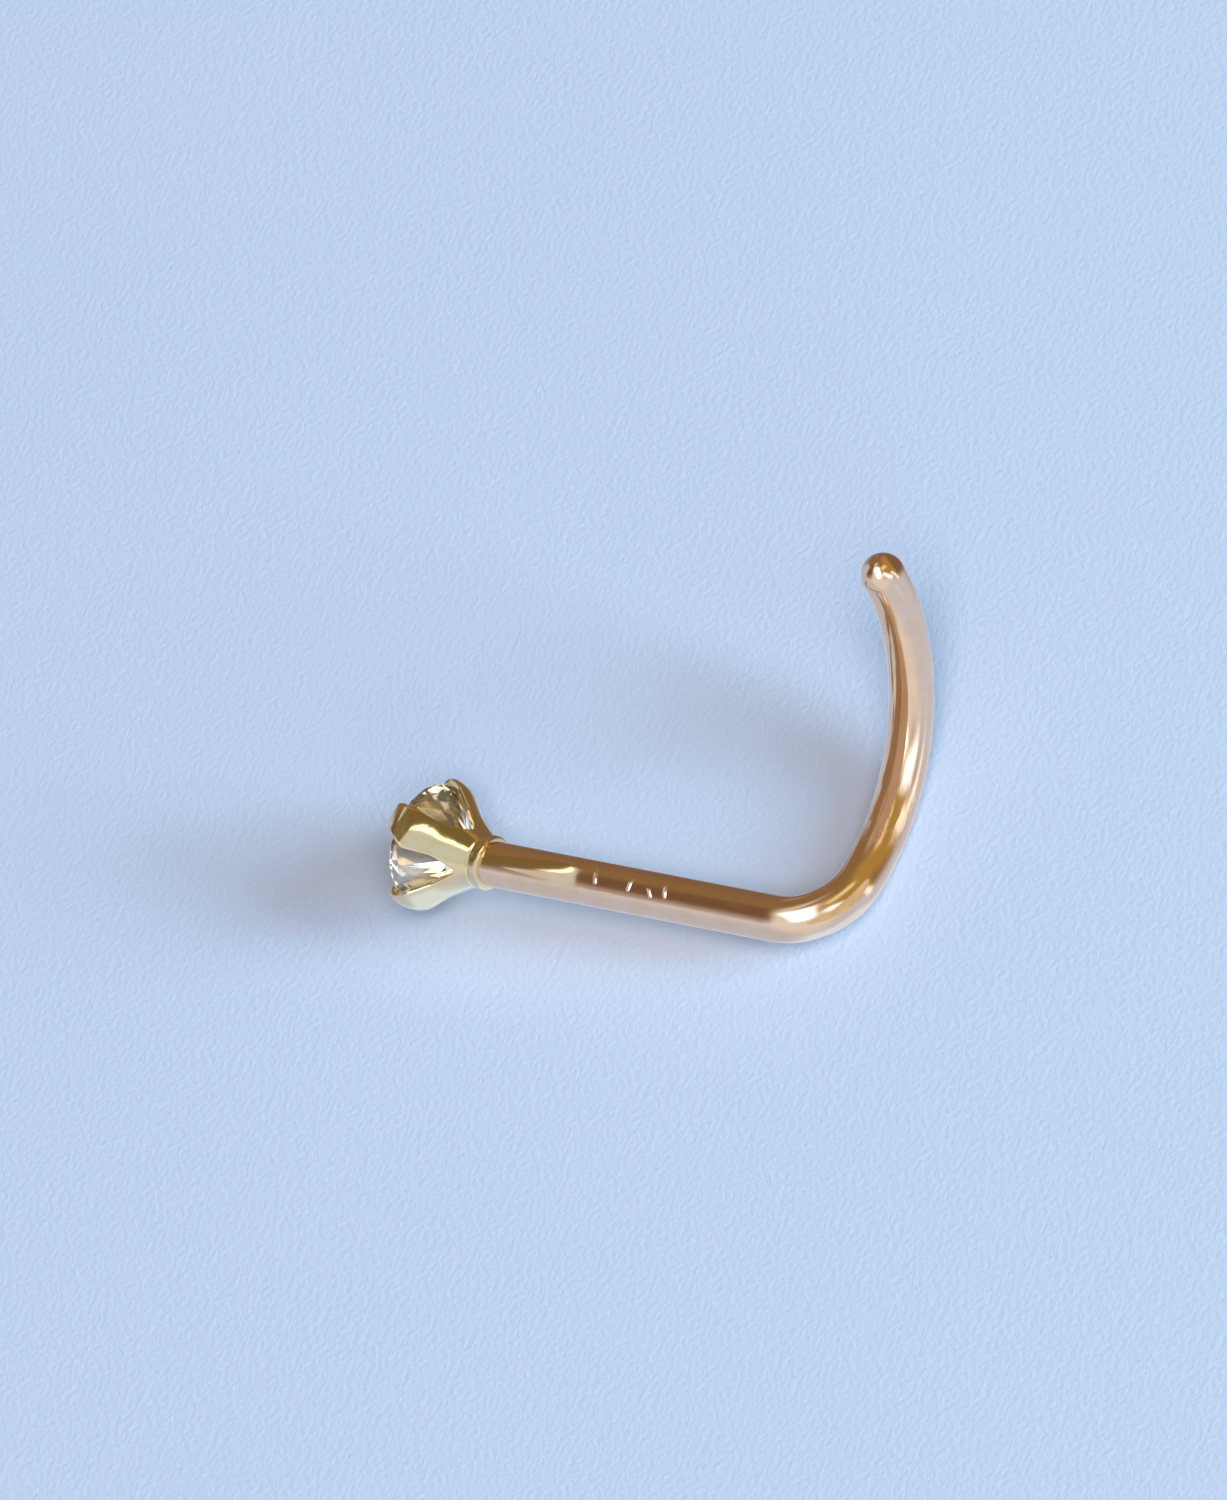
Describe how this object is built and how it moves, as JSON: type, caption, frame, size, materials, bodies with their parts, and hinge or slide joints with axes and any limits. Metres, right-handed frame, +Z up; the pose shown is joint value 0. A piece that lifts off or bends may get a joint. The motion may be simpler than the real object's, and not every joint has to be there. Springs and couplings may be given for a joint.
{
  "type": "nose ring",
  "caption": "Gold nostril stud: a round clear stone in a tulip prong setting on a straight post, which bends sideways into an open curled hook with a rounded tip.",
  "frame": {"origin": "centre of the bottom of the stud's box, as it lies at rest on a floor", "axes": "+Z up; +X along the post, from the stone towards the bend; +Y the way the hook sets off from the bend"},
  "size_m": [0.0092, 0.007, 0.0037],
  "materials": {
    "gold": "polished gold",
    "stone": "clear, faceted and polished"
  },
  "bodies": {
    "root": {"gold_stud": "gold", "stone": "stone"}
  },
  "joints": []
}
